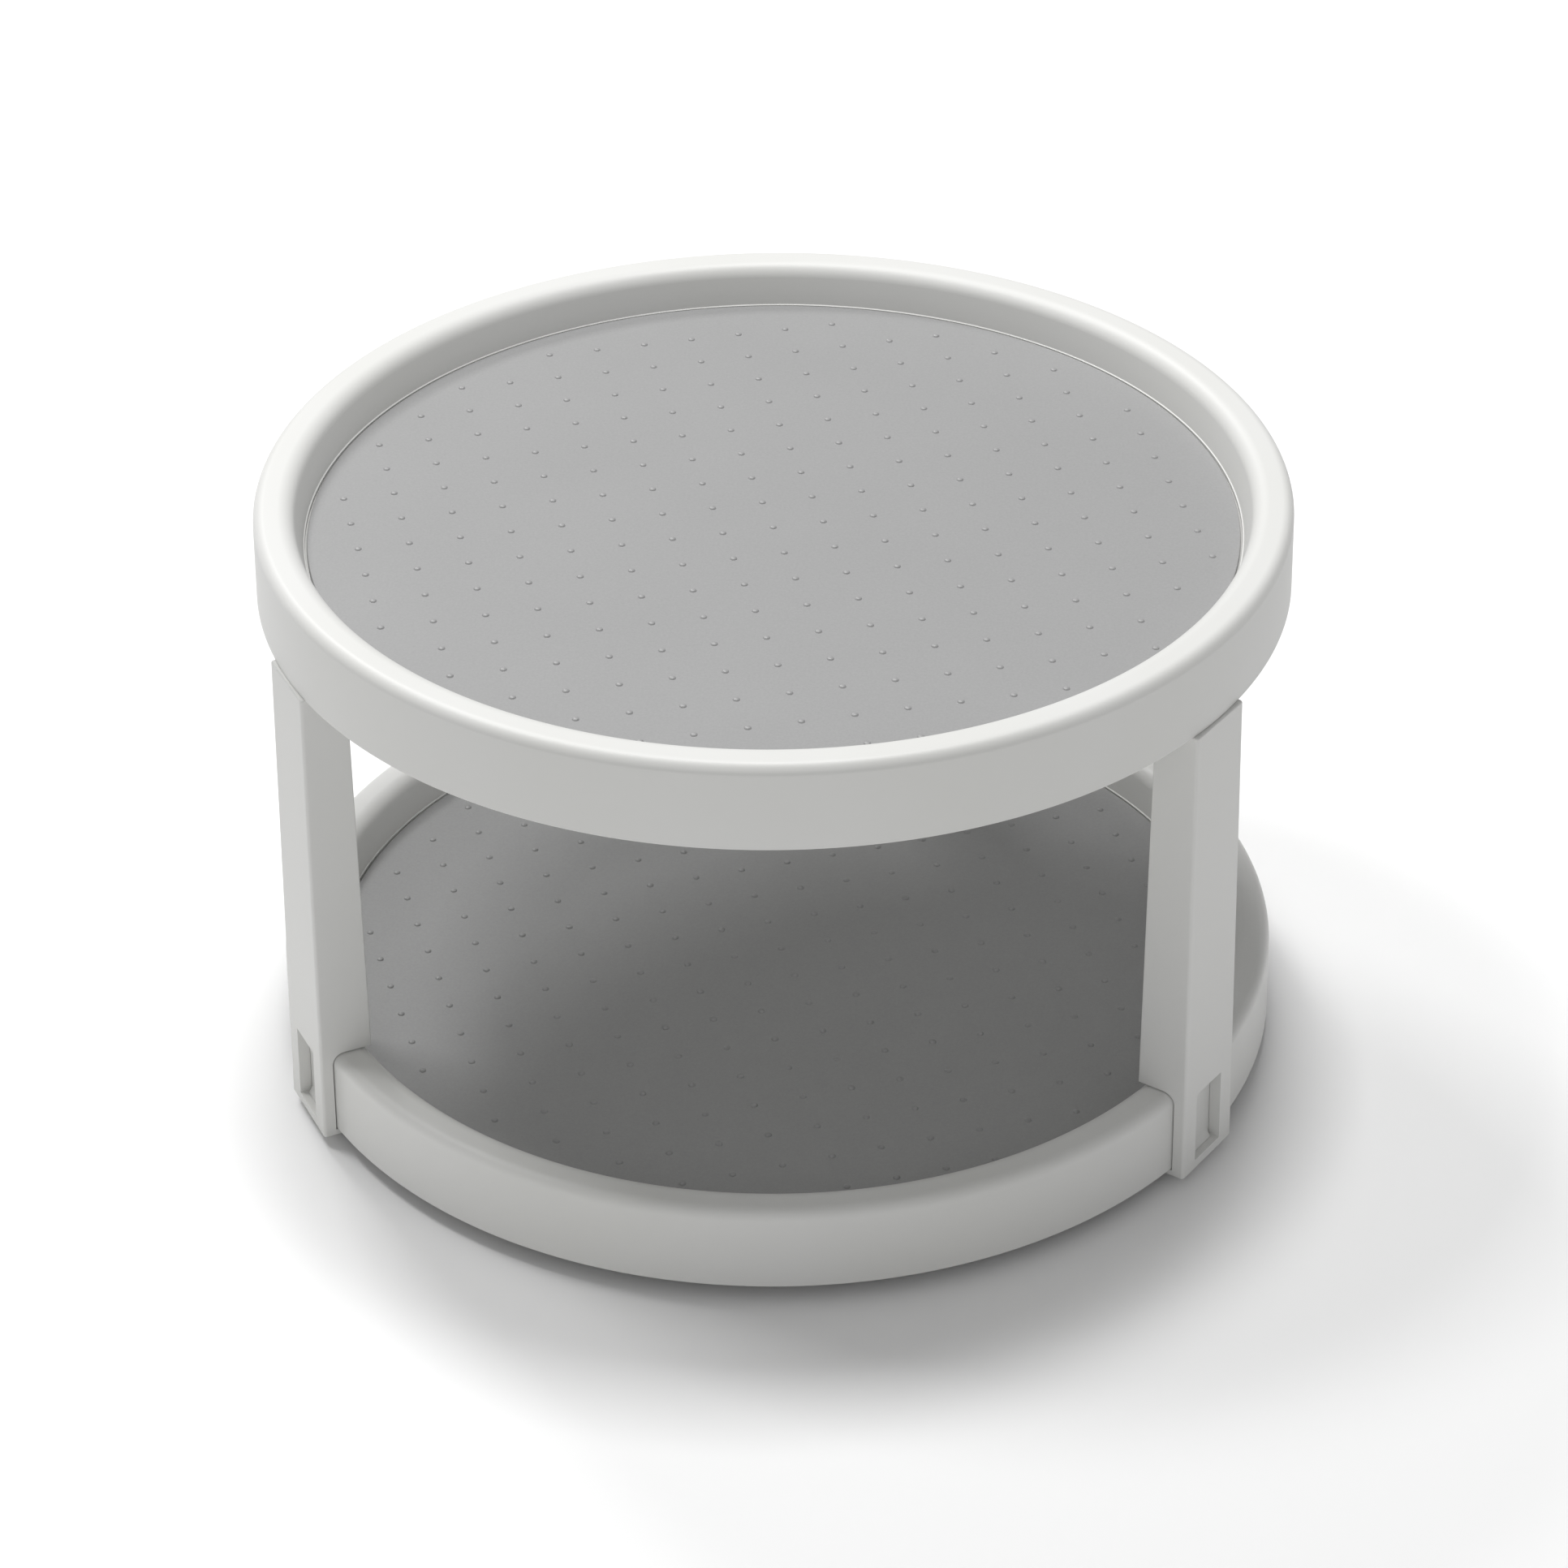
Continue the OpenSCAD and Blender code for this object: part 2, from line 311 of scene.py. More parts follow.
# thermoplastic rubber sheet, pressed: dull, with a fine pebbled skin of this grit and depth in millimetres
def makePressedRubber(name, colour, shade, grit, depth, look):
    material, tree = newMaterial(name)
    place = addNode(tree, "ShaderNodeTexCoord").outputs["Object"]
    cloud = addNode(tree, "ShaderNodeTexNoise", {}, {"Scale": look["cloud"], "Detail": 4}, {"Vector": place})
    skin = addNode(
        tree, "ShaderNodeTexNoise", {}, {"Scale": 1 / (grit * mm), "Detail": 2, "Roughness": 0.6},
        {"Vector": place},
    )
    both = addNode(
        tree, "ShaderNodeMath", {"operation": "MULTIPLY_ADD"}, {1: look["cloudShare"]},
        {0: cloud.outputs["Fac"], 2: skin.outputs["Fac"]},
    )
    tint = addNode(tree, "ShaderNodeValToRGB", {}, {}, {"Fac": both.outputs["Value"]})
    tint.color_ramp.elements[0].position = look["tintFrom"]
    tint.color_ramp.elements[0].color = fromHex(shade)
    tint.color_ramp.elements[1].position = look["tintTo"]
    tint.color_ramp.elements[1].color = fromHex(colour)
    bump = addNode(
        tree, "ShaderNodeBump", {}, {"Strength": look["skinStrength"], "Distance": depth * mm},
        {"Height": skin.outputs["Fac"]},
    )
    shader = addNode(
        tree, "ShaderNodeBsdfPrincipled", {},
        {"IOR": look["ior"], "Metallic": 0, "Roughness": look["roughness"]},
        {"Base Color": tint.outputs["Color"], "Normal": bump.outputs["Normal"]},
    )
    addNode(tree, "ShaderNodeOutputMaterial", {}, {}, {"Surface": shader.outputs["BSDF"]})
    return material


# steel, as drawn or plated: metallic, with fine wear in its gloss
def makeSteel(name, colour, lowGloss, highGloss, scale):
    material, tree = newMaterial(name)
    place = addNode(tree, "ShaderNodeTexCoord").outputs["Object"]
    wear = addNode(tree, "ShaderNodeTexNoise", {}, {"Scale": scale, "Detail": 5}, {"Vector": place})
    gloss = addNode(
        tree, "ShaderNodeMapRange", {}, {"To Min": lowGloss, "To Max": highGloss},
        {"Value": wear.outputs["Fac"]},
    )
    shader = addNode(
        tree, "ShaderNodeBsdfPrincipled", {}, {"Base Color": fromHex(colour), "Metallic": 1},
        {"Roughness": gloss.outputs["Result"]},
    )
    addNode(tree, "ShaderNodeOutputMaterial", {}, {}, {"Surface": shader.outputs["BSDF"]})
    return material


whitePolypropylene = makeMouldedWhite("whitePolypropyleneMoulded", "#dadad8", "#d8d8d5", mouldedLook)
naturalAcetal = makeMouldedWhite("naturalAcetalMoulded", "#e2dfd0", "#dddac9", mouldedLook)
greyMatRubber = makePressedRubber("greyMatRubberPressed", "#9d9d9d", "#969696", 0.6, 0.03, rubberLook)
blackFootRubber = makePressedRubber("blackFootRubberPressed", "#2e2e2e", "#262626", 0.5, 0.05, rubberLook)
polishedBallSteel = makeSteel("ballSteelGround", "#c9cacc", 0.08, 0.14, 300)
zincPlatedSteel = makeSteel("zincPlatedSteel", "#b4b7ba", 0.28, 0.42, 500)
print("materials made")


def finishPiece(piece, material, body, slot, *nodes):
    piece.data.materials.clear()
    piece.data.materials.append(material)
    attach(piece, body)
    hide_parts(*nodes)
    print("made", piece.name, len(piece.data.polygons), "faces")


# trays, in millimetres, with heights from a tray's own lower edge

trayLook = {
    "steps": 240,
    "height": 22.1,
    "postAngles": [-150, -30, 90],  # degrees from +X
    "wall": 2.2,
    "skirtDraft": 0.4,
    "crestRound": 2.8,
    "crestInner": 117.42,  # where the crest and the inner wall would meet if neither were rounded
    "innerRound": 3.18,
    "wallBend": 115.9,  # the inner wall steepens towards its foot
    "bendDepth": 5.6,
    "bendRound": 2.4,
    "wallFoot": 114.9,
    "wallFootZ": 11.7,
    "lip": 0.3,
    "lipHeight": 1.1,
    "wallFootRound": 0.2,
    "lipRound": 0.15,
    "underside": 8.4,
    "cavityInner": 116.9,
    "cavityTopInner": 118.6,
    "cavityInnerRound": 1.3,
    "cavityOuterRound": 0.6,
    "edgeRound": 0.25,
    "ribWidth": 1.6,
    "ribCount": 6,
    "ribEnd": 113.3,
}


# insets the picked face step by step, from the start radius to each of the others in turn
def insetTo(start, radii):
    now = start
    for radius in radii:
        inset(now - radius)
        now = radius


def makeTrayShell(name, look, lowZ, highZ, outer, underRadii):
    wall = look["wall"]
    topOuter = outer - look["skirtDraft"]
    tray = addCylinder(name, outer, lowZ, highZ, look["steps"])
    edit(tray, "FACE")
    pick(tray, "faces", ring(0, outer, highZ))
    resizeTo(outer, topOuter)
    inset(topOuter - look["crestInner"])
    bendZ = highZ - look["bendDepth"]
    extrude(-look["bendDepth"])
    resizeTo(look["crestInner"], look["wallBend"])
    extrude(lowZ + look["wallFootZ"] - bendZ)
    resizeTo(look["wallBend"], look["wallFoot"])
    inset(look["lip"])
    extrude(-look["lipHeight"])
    # the hollow side: skirt, floor and the channel inside the rim
    pick(tray, "faces", ring(0, outer, lowZ))
    inset(wall)
    extrude(look["underside"])
    underZ = lowZ + look["underside"]
    insetTo(outer - wall, [look["cavityInner"]] + underRadii)
    pick(tray, "faces", ring(look["cavityInner"], outer - wall, underZ))
    cavityTop = highZ - wall
    extrude(cavityTop - underZ)
    bpy.ops.mesh.select_mode(type="VERT")
    pick(tray, "edges", ring(look["cavityInner"], look["cavityInner"], cavityTop))
    resizeTo(look["cavityInner"], look["cavityTopInner"])
    pick(tray, "edges", ring(outer - wall, outer - wall, cavityTop))
    resizeTo(outer - wall, topOuter - wall)
    # rounds
    small = look["edgeRound"]
    roundEdges(tray, ring(topOuter, topOuter, highZ), look["crestRound"], 10)
    roundEdges(tray, ring(look["crestInner"], look["crestInner"], highZ), look["innerRound"], 10)
    roundEdges(tray, ring(look["wallBend"], look["wallBend"], bendZ), look["bendRound"], 6)
    cavityIn = look["cavityTopInner"]
    roundEdges(tray, ring(cavityIn, cavityIn, cavityTop), look["cavityInnerRound"], 4)
    roundEdges(tray, ring(topOuter - wall, topOuter - wall, cavityTop), look["cavityOuterRound"], 3)
    roundEdges(tray, ring(outer, outer, lowZ), small, 3)
    roundEdges(tray, ring(outer - wall, outer - wall, lowZ), small, 3)
    roundEdges(tray, ring(look["cavityInner"], look["cavityInner"], underZ), small, 3)
    footZ = lowZ + look["wallFootZ"]
    roundEdges(tray, ring(look["wallFoot"], look["wallFoot"], footZ), look["wallFootRound"], 3)
    lipIn = look["wallFoot"] - look["lip"]
    roundEdges(tray, ring(lipIn, lipIn, footZ), look["lipRound"], 3)
    return tray


def raiseRing(piece, inner, outer, z, height):
    pick(piece, "faces", ring(inner, outer, z))
    extrude(height)


upperTrayLook = {
    "rings": [72, 30],
    "ringDrop": 1.5,
    "ribDrop": 1.2,
    "tenonSide": 8.15,
    "socketIn": 117.95,
    "socketWall": 1.6,
    "socketDepthLeft": 1.6,  # left between a socket and the skirt's outer face
    "socketTopLeft": 1.3,  # left between a socket and the crest
    "socketLift": 0.1,
    "trimSize": 9,
}


def addRibs(tray, look, inner, outer, underZ, drop):
    half = look["ribWidth"] / 2
    rib = addBox("rib", (inner, -half, underZ - drop), (outer, half, underZ + past))
    edit(rib, "EDGE")
    pick(rib, "edges", lambda corner: abs(corner.z - underZ + drop) < nearby)
    bpy.ops.mesh.bevel(offset=look["edgeRound"] * mm, segments=2, affect="EDGES")
    leaveEdit()
    count = look["ribCount"]
    ribs = [rib] + [copyTurned(rib, i * 360 / count) for i in range(1, count)]
    boolean(tray, joinAll(ribs, "ribs"), "UNION")


def makeUpperTray(look):
    low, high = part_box("upper_tray")
    lowZ, highZ, outer = low.z / mm, high.z / mm, high.x / mm
    half = trayLook["ribWidth"] / 2
    underZ = lowZ + trayLook["underside"]
    rings = look["rings"]
    radii = [radius + way * half for radius in rings for way in (1, -1)]
    tray = makeTrayShell("upperTray", trayLook, lowZ, highZ, outer, radii)
    for radius in rings:
        raiseRing(tray, radius - half, radius + half, underZ, -look["ringDrop"])
    leaveEdit()
    facesOut(tray)
    addRibs(tray, trayLook, rings[1], trayLook["ribEnd"], underZ, look["ribDrop"])
    # a square socket for each post's tenon
    side, inner, wall, trim = look["tenonSide"], look["socketIn"], look["socketWall"], look["trimSize"]
    outside = outer - look["socketDepthLeft"]
    socketLow = lowZ + look["socketLift"]
    socketHigh = highZ - look["socketTopLeft"]
    socket = addBox("socket", (inner - wall, -side - wall, socketLow), (outside, side + wall, socketHigh))
    hole = addBox("hole", (inner, -side, lowZ - past), (outside + past, side, highZ))
    boolean(socket, hole, "DIFFERENCE")
    corner = addBox("trim", (inner - trim, -side - trim, underZ + past), (inner, side + trim, highZ))
    boolean(socket, corner, "DIFFERENCE")
    sockets = [copyTurned(socket, angle) for angle in trayLook["postAngles"]]
    bpy.data.objects.remove(socket)
    boolean(tray, joinAll(sockets, "sockets"), "UNION")
    facesOut(tray)
    smooth(tray)
    finishPiece(tray, whitePolypropylene, "turntable", "white_plastic", "upper_tray")


makeUpperTray(upperTrayLook)

# the ball race, which the lower tray and the base plate share
raceLook = {
    "inner": 63,
    "outer": 77,
    "middle": 70,
    "groove": 2.7,
}

# heights of the bearing's side, the slots and the catches are from the table
lowerTrayLook = {
    "ring": 100,
    "ringDrop": 1.8,
    "ribDrop": 1.5,
    "raceZ": 9.2,
    "grooveZ": 7.84,
    "hub": 9,
    "hubZ": 7.5,
    "journal": 6,
    "journalZ": 3.7,
    "pilot": 1.5,
    "pilotTop": 12,
    "slot": ((120.65, -6.15, 22.7), (124.25, 6.15, 28.7)),
    "catch": ((126, -4.5, 5.6), (128.1, 4.5, 8.6)),
    "catchLean": 1.5,
}


# cuts the ring groove that the balls run in
def cutGroove(piece, z):
    deselectAll()
    bpy.ops.mesh.primitive_torus_add(
        major_radius=raceLook["middle"] * mm, minor_radius=raceLook["groove"] * mm,
        major_segments=180, minor_segments=40, location=(0, 0, z * mm),
    )
    boolean(piece, justMade("groove"), "DIFFERENCE")


def makeLowerTray(look):
    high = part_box("lower_tray")[1]
    outer, highZ = high.x / mm, high.z / mm
    lowZ = highZ - trayLook["height"]
    half = trayLook["ribWidth"] / 2
    underZ = lowZ + trayLook["underside"]
    raceIn, raceOut = raceLook["inner"], raceLook["outer"]
    radii = [look["ring"] + half, look["ring"] - half, raceOut, raceIn]
    radii += [look["hub"], look["journal"], look["pilot"]]
    tray = makeTrayShell("lowerTray", trayLook, lowZ, highZ, outer, radii)
    raiseRing(tray, look["ring"] - half, look["ring"] + half, underZ, -look["ringDrop"])
    raiseRing(tray, raceIn, raceOut, underZ, look["raceZ"] - underZ)
    raiseRing(tray, 0, look["hub"], underZ, look["hubZ"] - underZ)
    raiseRing(tray, 0, look["journal"], look["hubZ"], look["journalZ"] - look["hubZ"])
    raiseRing(tray, 0, look["pilot"], look["journalZ"], look["pilotTop"] - look["journalZ"])
    edges = [(raceIn, look["raceZ"]), (raceOut, look["raceZ"])]
    edges += [(look["hub"], look["hubZ"]), (look["journal"], look["journalZ"])]
    for radius, z in edges:
        roundEdges(tray, ring(radius, radius, z), trayLook["edgeRound"], 2)
    leaveEdit()
    facesOut(tray)
    cutGroove(tray, look["grooveZ"])
    addRibs(tray, trayLook, look["hub"] - past, raceIn + past, underZ, look["ribDrop"])
    addRibs(tray, trayLook, raceOut - past, trayLook["ribEnd"], underZ, look["ribDrop"])
    # a slot for each post's tongue, and a ramped catch for the bar at its foot
    angles = trayLook["postAngles"]
    slot = addBox("slot", *look["slot"])
    slots = [copyTurned(slot, angle) for angle in angles]
    bpy.data.objects.remove(slot)
    boolean(tray, joinAll(slots, "slots"), "DIFFERENCE")
    catch = addBox("catch", *look["catch"])
    edit(catch, "VERT")
    far, top = look["catch"][1][0], look["catch"][1][2]
    pick(catch, "edges", lambda corner: corner.x > far - nearby and corner.z > top - nearby)
    bpy.ops.transform.translate(value=(-look["catchLean"] * mm, 0, 0))
    leaveEdit()
    catches = [copyTurned(catch, angle) for angle in angles]
    bpy.data.objects.remove(catch)
    boolean(tray, joinAll(catches, "catches"), "UNION")
    facesOut(tray)
    smooth(tray)
    finishPiece(tray, whitePolypropylene, "turntable", "white_plastic", "lower_tray")


makeLowerTray(lowerTrayLook)

# mats

matLook = {
    "edgeRound": 0.35,
    "underRound": 0.1,
    "smoothAngle": 50,
    "dotWidth": 1.8,
    "dotHeight": 0.46,
    "dotFoot": 1.12,  # how much wider the dot's foot is
    "dotCut": 0.2,  # the share of its height at which the foot begins
    "dotSink": 0.04,  # how deep the foot stands in the mat
    "pitch": 12.56,
    "reach": 108.5,
    "upperRows": (17.5, -0.76, -2.97),  # the rows' turn in degrees, and their shift along and across
    "lowerRows": (21.25, -0.06, -3.67),
}


# a low dome with a flared foot, on the height z
def makeDot(look, z):
    radius = look["dotWidth"] / 2
    deselectAll()
    bpy.ops.mesh.primitive_uv_sphere_add(segments=12, ring_count=8, radius=radius * mm)
    dot = bpy.context.active_object
    dot.scale.z = look["dotHeight"] / radius
    dot = justMade("dot")
    edit(dot, "VERT")
    bpy.ops.mesh.select_all(action="SELECT")
    cut = look["dotHeight"] * look["dotCut"]
    bpy.ops.mesh.bisect(plane_co=(0, 0, cut * mm), plane_no=(0, 0, 1), clear_inner=True)
    pick(dot, "edges", lambda corner: corner.z < cut + mergeDistance)
    down = -(cut + look["dotSink"]) * mm
    bpy.ops.mesh.extrude_edges_move(TRANSFORM_OT_translate={"value": (0, 0, down)})
    bpy.ops.transform.resize(value=(look["dotFoot"], look["dotFoot"], 1))
    bpy.ops.mesh.edge_face_add()
    leaveEdit()
    dot.data.transform(Matrix.Translation((0, 0, z * mm)))
    return dot


# dots in square rows, turned by an angle and moved off the centre along the rows and across them
def makeMat(name, node, turn, along, across):
    low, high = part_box(node)
    radius, lowZ, highZ = high.x / mm, low.z / mm, high.z / mm
    mat = addCylinder(name, radius, lowZ, highZ)
    edit(mat, "EDGE")
    roundEdges(mat, ring(radius, radius, highZ), matLook["edgeRound"], 3)
    roundEdges(mat, ring(radius, radius, lowZ), matLook["underRound"], 1)
    leaveEdit()
    dot = makeDot(matLook, highZ)
    pitch = matLook["pitch"]
    count = int(matLook["reach"] / pitch) + 2
    dots = []
    for row in range(-count, count + 1):
        for column in range(-count, count + 1):
            place = Matrix.Rotation(radians(turn), 3, "Z") @ Vector(
                (column * pitch + along, row * pitch + across, 0)
            )
            if place.length > matLook["reach"]:
                continue
            twin = dot.copy()
            twin.data = dot.data.copy()
            twin.data.transform(Matrix.Translation(place * mm))
            bpy.context.scene.collection.objects.link(twin)
            dots.append(twin)
    bpy.data.objects.remove(dot)
    joinAll([mat] + dots, name)
    facesOut(mat)
    smooth(mat, matLook["smoothAngle"])
    finishPiece(mat, greyMatRubber, "turntable", "mat_rubber", node)


makeMat("upperMat", "upper_mat", *matLook["upperRows"])
makeMat("lowerMat", "lower_mat", *matLook["lowerRows"])

# posts, with radii from the axis and heights from the table

postLook = {
    "inner": 116,
    "outer": 130,
    "topOuter": 127.7,  # the outer face leans in towards its top
    "footWidth": 23,
    "topWidth": 20.8,
    "cornerRound": 0.8,
    "edgeRound": 0.4,
    "topRound": 0.5,
    "gap": 0.06,  # round the lower rim, over the middle closeWidth
    "closeWidth": 17,
    "sideGap": 0.3,  # the same beyond it
    "saddleSteps": 360,
    "window": ((125.8, -5.7, 5.5), (132, 5.7, 25.3)),
    "pocket": ((115, -8.4, 30.9), (127, 8.4, 52.9)),
    "pocketStep": 24,
    "pocketCount": 4,
    "pocketRound": 0.6,
    "smallRound": 0.2,  # on every crisp edge
    "smallRoundAngle": 55,  # degrees
    "tongue": ((120.8, -6, 17.9), (123.2, 6, 28)),
    "tongueLead": 0.6,
    "tenon": ((118.1, -8, 129.3), (124.1, 8, 140.3)),
    "tenonLead": 0.8,
    "hookIn": 124.8,
}


# the room a post leaves round the lower rim
def makeSaddle(outer, lowZ, highZ, gap):
    radius, topZ = outer + gap, highZ + gap
    rim = radius - trayLook["skirtDraft"]
    saddle = addCylinder("saddle", radius, lowZ - gap, topZ, postLook["saddleSteps"])
    edit(saddle, "FACE")
    pick(saddle, "faces", ring(0, radius, topZ))
    resizeTo(radius, rim)
    roundEdges(saddle, ring(rim, rim, topZ), trayLook["crestRound"] + gap, 12)
    leaveEdit()
    return saddle


def makePostShape(look):
    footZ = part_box("post_back")[0].z / mm
    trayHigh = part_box("lower_tray")[1]
    crestZ = trayHigh.z / mm
    skirtZ = crestZ - trayLook["height"]
    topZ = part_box("upper_tray")[0].z / mm
    wide = look["footWidth"] / 2
    post = addBox("post", (look["inner"], -wide, footZ), (look["outer"], wide, topZ))
    edit(post, "FACE")
    pick(post, "faces", lambda corner: corner.z > topZ - nearby)
    bpy.ops.transform.resize(value=(1, look["topWidth"] / look["footWidth"], 1))
    bpy.ops.mesh.select_mode(type="EDGE")
    pick(post, "edges", lambda corner: corner.z > topZ - nearby and corner.x > look["outer"] - nearby)
    bpy.ops.transform.translate(value=((look["topOuter"] - look["outer"]) * mm, 0, 0))
    far, near = look["topOuter"] - nearby, look["inner"] + nearby
    # the upright edges, then the top outer edge
    for side in (-1, 1):
        roundEdges(post, lambda corner: corner.x > far and corner.y * side > 0, look["cornerRound"], 6)
        roundEdges(post, lambda corner: corner.x < near and corner.y * side > 0, look["edgeRound"], 3)
    roundEdges(post, lambda corner: corner.x > far - past and corner.z > topZ - nearby, look["topRound"], 4)
    leaveEdit()
    # saddle over the lower rim, with the hook left below the skirt
    outer, half = trayHigh.x / mm, look["closeWidth"] / 2
    boolean(post, makeSaddle(outer, skirtZ, crestZ, look["gap"]), "DIFFERENCE")
    sides = makeSaddle(outer, skirtZ, crestZ, look["sideGap"])
    middle = addBox("middle", (-outer - past, -half, footZ - past), (outer + past, half, crestZ + past))
    boolean(sides, middle, "DIFFERENCE")
    boolean(post, sides, "DIFFERENCE")
    hookSpace = addCylinder("hookSpace", look["hookIn"], footZ - past, skirtZ + past)
    boolean(post, hookSpace, "DIFFERENCE")
    boolean(post, addBox("window", *look["window"]), "DIFFERENCE")
    # moulded pockets in the side that faces the axis
    pocket = addBox("pocket", *look["pocket"])
    edit(pocket, "EDGE")
    bpy.ops.mesh.select_all(action="SELECT")
    bpy.ops.mesh.bevel(offset=look["pocketRound"] * mm, segments=3, affect="EDGES")
    leaveEdit()
    pockets = [pocket]
    for i in range(1, look["pocketCount"]):
        pockets.append(copyTurned(pocket, 0))
        pockets[-1].data.transform(Matrix.Translation((0, 0, i * look["pocketStep"] * mm)))
    boolean(post, joinAll(pockets, "pockets"), "DIFFERENCE")
    # crisp mouldings still have a small round on every edge
    onlySelect(post)
    rounding = post.modifiers.new("edges", "BEVEL")
    rounding.width = look["smallRound"] * mm
    rounding.segments = 2
    rounding.limit_method = "ANGLE"
    rounding.angle_limit = radians(look["smallRoundAngle"])
    bpy.ops.object.modifier_apply(modifier=rounding.name)
    # tongue for the slot in the lower crest, and tenon for the socket in the upper rim
    tongue = addBox("tongue", *look["tongue"])
    edit(tongue, "EDGE")
    tip = look["tongue"][0][2]
    pick(tongue, "edges", lambda corner: corner.z < tip + nearby)
    bpy.ops.mesh.bevel(offset=look["tongueLead"] * mm, segments=2, affect="EDGES")
    leaveEdit()
    boolean(post, tongue, "UNION")
    tenon = addBox("tenon", *look["tenon"])
    edit(tenon, "EDGE")
    end = look["tenon"][1][2]
    pick(tenon, "edges", lambda corner: corner.z > end - nearby)
    bpy.ops.mesh.bevel(offset=look["tenonLead"] * mm, segments=3, affect="EDGES")
    leaveEdit()
    boolean(post, tenon, "UNION")
    return post


def makePosts():
    shape = makePostShape(postLook)
    nodes = ("post_left", "post_right", "post_back")
    names = ("postLeft", "postRight", "postBack")
    for node, name, angle in zip(nodes, names, trayLook["postAngles"]):
        post = copyTurned(shape, angle)
        post.name = name
        facesOut(post)
        smooth(post)
        finishPiece(post, whitePolypropylene, "turntable", "white_plastic", node)
    bpy.data.objects.remove(shape)


makePosts()

# base, with heights from the table

baseLook = {
    "lipWidth": 2.2,
    "lipTop": 5.6,
    "raceZ": 6.8,
    "grooveZ": 8.16,
    "boss": 14,
    "bossTop": 6.2,
    "bore": 7.55,
    "recess": 12,
    "recessTop": 3.8,
    "plateTop": 3.6,
    "ribTop": 5.6,
    "plateRound": 0.6,
    "edgeRound": 0.4,
    "ribTurn": 30,
    "ribSink": 0.5,
    "seat": 6,
    "seatTop": 2.2,
    "footSteps": 64,
    "footRound": 0.4,
    "suckerEdge": 1.4,
    "suckerWidth": 0.5,
    "suckerDepth": 0.4,
}
footNodes = sorted(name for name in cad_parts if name.startswith("foot_"))


def makeBase(look):
    low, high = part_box("base_plate")
    outer, lowZ, topZ = high.x / mm, low.z / mm, look["plateTop"]
    base = addCylinder("basePlate", outer, lowZ, topZ)
    edit(base, "FACE")
    pick(base, "faces", ring(0, outer, topZ))
    lipIn, raceIn, raceOut = outer - look["lipWidth"], raceLook["inner"], raceLook["outer"]
    insetTo(outer, [lipIn, raceOut, raceIn, look["boss"], look["bore"]])
    raiseRing(base, lipIn, outer, topZ, look["lipTop"] - topZ)
    raiseRing(base, raceIn, raceOut, topZ, look["raceZ"] - topZ)
    raiseRing(base, 0, look["boss"], topZ, look["bossTop"] - topZ)
    pick(base, "faces", ring(0, outer, lowZ))
    insetTo(outer, [look["recess"]])
    extrude(look["recessTop"] - lowZ)
    insetTo(look["recess"], [look["bore"]])
    pick(base, "faces", ring(0, look["bore"], look["recessTop"]))
    pick(base, "faces", ring(0, look["bore"], look["bossTop"]), add=True)
    bpy.ops.mesh.delete(type="ONLY_FACE")
    bpy.ops.mesh.select_mode(type="EDGE")
    pick(base, "edges", ring(look["bore"], look["bore"], look["recessTop"]))
    pick(base, "edges", ring(look["bore"], look["bore"], look["bossTop"]), add=True)
    bpy.ops.mesh.bridge_edge_loops()
    small = look["edgeRound"]
    roundEdges(base, ring(outer, outer, lowZ), look["plateRound"], 4)
    roundEdges(base, ring(outer, outer, look["lipTop"]), small, 3)
    roundEdges(base, ring(look["boss"], look["boss"], look["bossTop"]), small, 3)
    roundEdges(base, ring(look["recess"], look["recess"], lowZ), small, 3)
    leaveEdit()
    facesOut(base)
    cutGroove(base, look["grooveZ"])
    half = trayLook["ribWidth"] / 2
    ribLow = (look["boss"] - past, -half, topZ - look["ribSink"])
    rib = addBox("rib", ribLow, (raceIn + past, half, look["ribTop"]))
    count = trayLook["ribCount"]
    ribs = [copyTurned(rib, look["ribTurn"] + i * 360 / count) for i in range(count)]
    bpy.data.objects.remove(rib)
    boolean(base, joinAll(ribs, "ribs"), "UNION")
    seats = []
    steps, seatLow = look["footSteps"], lowZ - past
    for node in footNodes:
        spot = sum(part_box(node), Vector()) / 2 / mm
        seats.append(addCylinder("seat", look["seat"], seatLow, look["seatTop"], steps, spot.x, spot.y))
    boolean(base, joinAll(seats, "seats"), "DIFFERENCE")
    facesOut(base)
    smooth(base)
    finishPiece(base, whitePolypropylene, "base", "white_plastic", "base_plate")


# rubber pads with a rounded edge and a shallow sucker ring
def makeFeet(look):
    for node in footNodes:
        low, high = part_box(node)
        spot = (low + high) / 2 / mm
        radius = (high.x - low.x) / 2 / mm
        name, steps = node.replace("_", ""), look["footSteps"]
        foot = addCylinder(name, radius, low.z / mm, high.z / mm, steps, spot.x, spot.y)

        def near(inner, outer, z):
            test = ring(inner, outer, z)
            return lambda corner: test(corner - Vector((spot.x, spot.y, 0)))

        edit(foot, "FACE")
        pick(foot, "faces", near(0, radius, 0))
        edge, width = look["suckerEdge"], look["suckerWidth"]
        inset(edge)
        inset(width)
        pick(foot, "faces", near(radius - edge - width, radius - edge, 0))
        extrude(look["suckerDepth"])
        roundEdges(foot, near(radius, radius, 0), look["footRound"], 4)
        leaveEdit()
        facesOut(foot)
        smooth(foot)
        finishPiece(foot, blackFootRubber, "base", "foot_rubber", node)


makeBase(baseLook)
makeFeet(baseLook)

# bearing and pivot: their own shapes are right, so they only take a finish

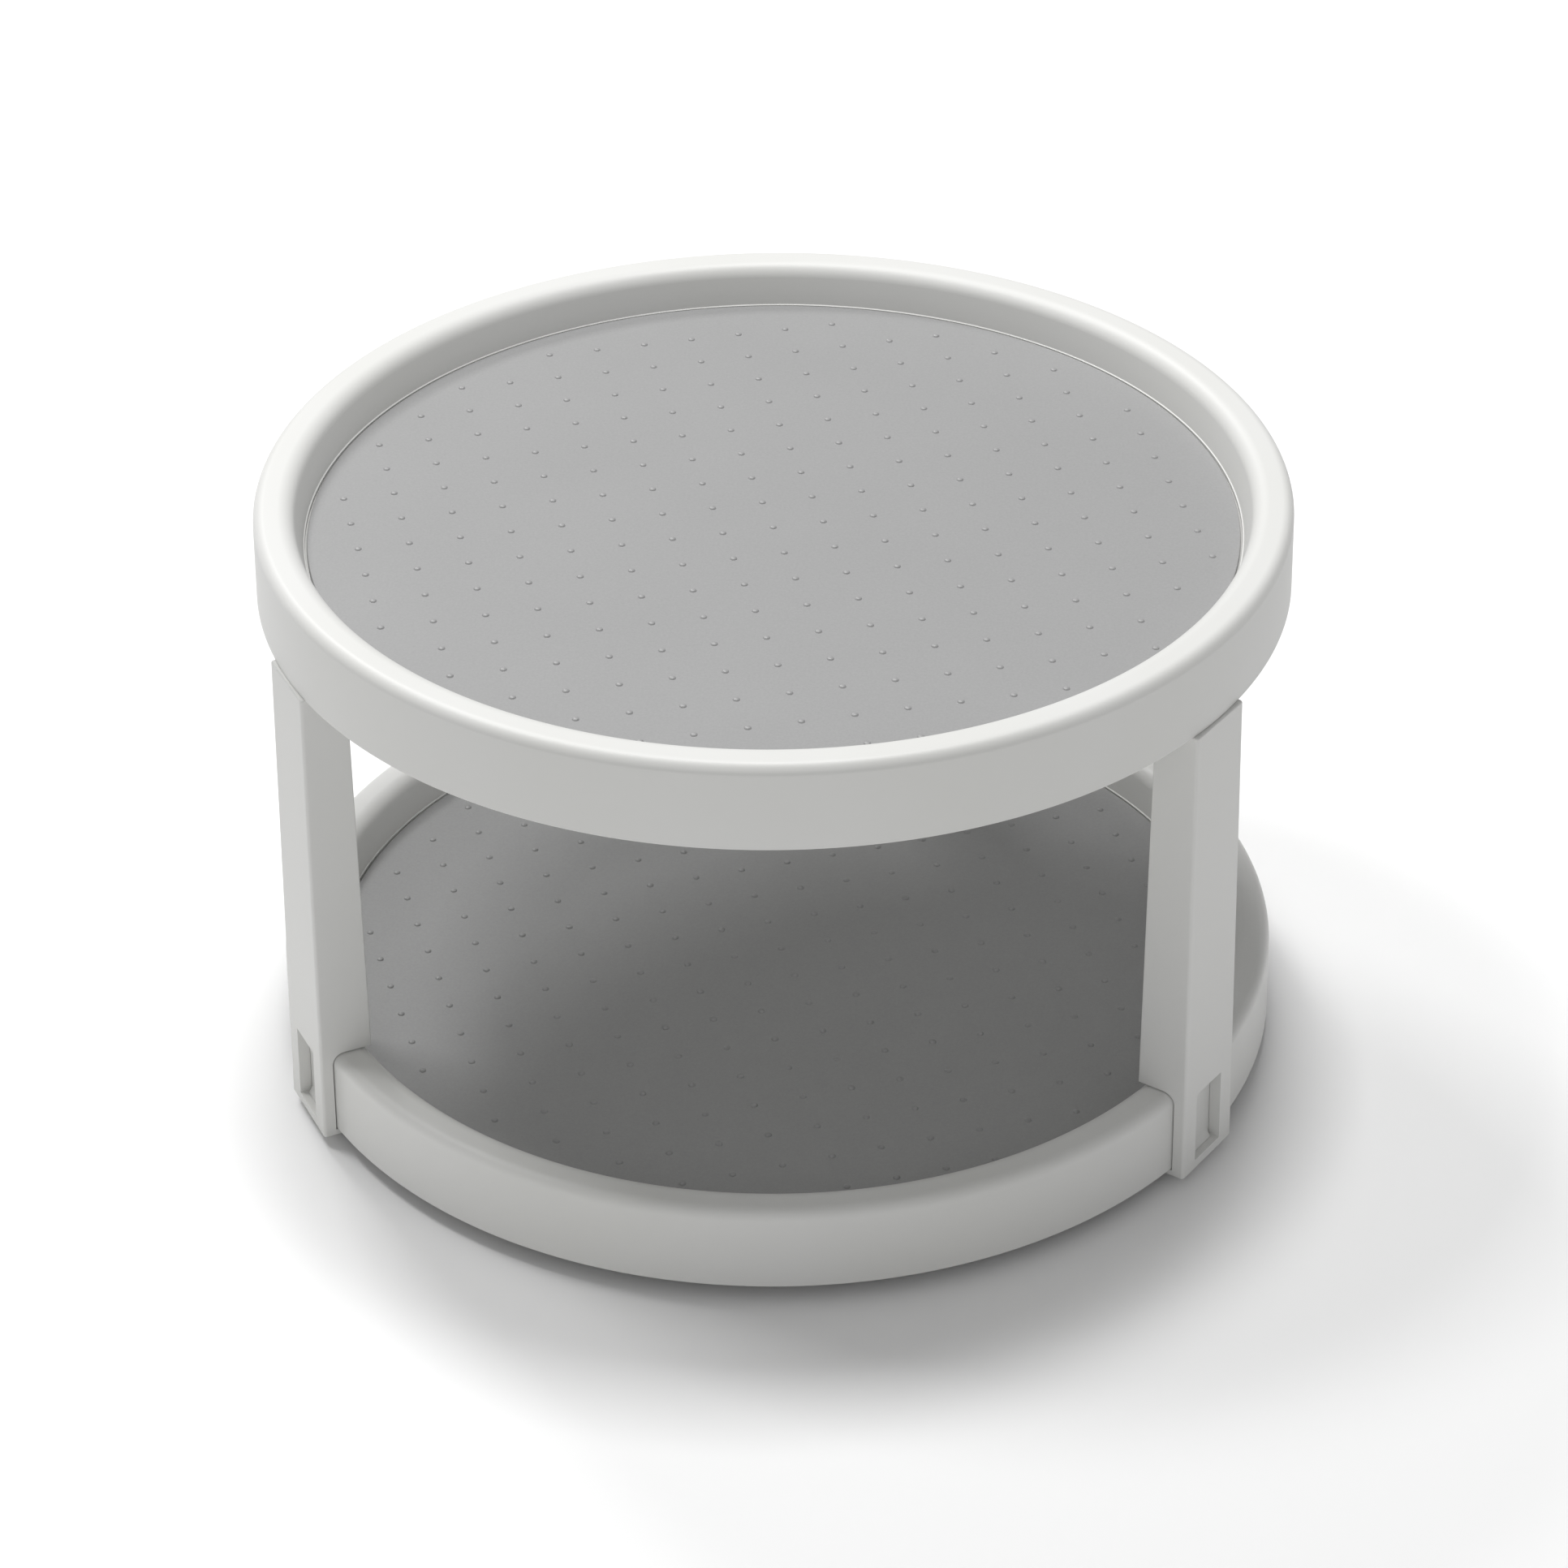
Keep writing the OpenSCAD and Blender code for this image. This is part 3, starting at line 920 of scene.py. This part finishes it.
innerFinish = {
    "ball_cage": naturalAcetal,
    "pivot_bush": naturalAcetal,
    "pivot_washer": zincPlatedSteel,
    "pivot_screw": zincPlatedSteel,
}
for name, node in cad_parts.items():
    finish = polishedBallSteel if name.startswith("ball_") and name != "ball_cage" else innerFinish.get(name)
    if finish:
        node.material_slots[0].material = finish
print("bearing finished")

# floor and light

studioLook = {
    "floor": "#fafafa",
    "floorSize": 8,  # metres
    "floorCloud": 3,  # noise cells to a metre
    "floorLowGloss": 0.85,
    "floorHighGloss": 0.95,
    "floorSpecular": 0.1,
    "aim": (0, 0, 0.07),
    "world": 0.32,
    "lights": {  # watts, side in metres, place
        "rearKey": (8.8, 0.36, (-0.73, 1.04, 1.41)),
        "sideKey": (8.4, 0.36, (-0.78, 0.28, 1.71)),
        "topLight": (16.6, 0.36, (0, 0.33, 1.87)),
        "frontFill": (2.8, 0.9, (0, -1.65, 0.95)),
    },
}


def makeLight(name, power, size, place, aim):
    data = bpy.data.lights.new(name, "AREA")
    data.shape = "SQUARE"
    data.size = size
    data.energy = power
    light = bpy.data.objects.new(name, data)
    bpy.context.scene.collection.objects.link(light)
    light.location = place
    light.rotation_euler = (Vector(aim) - Vector(place)).to_track_quat("-Z", "Y").to_euler()


def makeStudio(look):
    deselectAll()
    bpy.ops.mesh.primitive_plane_add(size=look["floorSize"])
    floor = justMade("studioFloor")
    material, tree = newMaterial("paintedFloor")
    place = addNode(tree, "ShaderNodeTexCoord").outputs["Object"]
    tone = addNode(tree, "ShaderNodeTexNoise", {}, {"Scale": look["floorCloud"]}, {"Vector": place})
    gloss = addNode(
        tree, "ShaderNodeMapRange", {}, {"To Min": look["floorLowGloss"], "To Max": look["floorHighGloss"]},
        {"Value": tone.outputs["Fac"]},
    )
    shader = addNode(
        tree, "ShaderNodeBsdfPrincipled", {},
        {"Base Color": fromHex(look["floor"]), "Specular IOR Level": look["floorSpecular"]},
        {"Roughness": gloss.outputs["Result"]},
    )
    addNode(tree, "ShaderNodeOutputMaterial", {}, {}, {"Surface": shader.outputs["BSDF"]})
    floor.data.materials.append(material)
    world = bpy.data.worlds.new("studioWorld")
    world.use_nodes = True
    back = world.node_tree.nodes["Background"]
    back.inputs["Color"].default_value = (1, 1, 1, 1)
    back.inputs["Strength"].default_value = look["world"]
    bpy.context.scene.world = world
    for name, (power, size, place) in look["lights"].items():
        makeLight(name, power, size, place, look["aim"])
    bpy.context.scene.view_settings.view_transform = "Standard"


makeStudio(studioLook)
print("studio made")
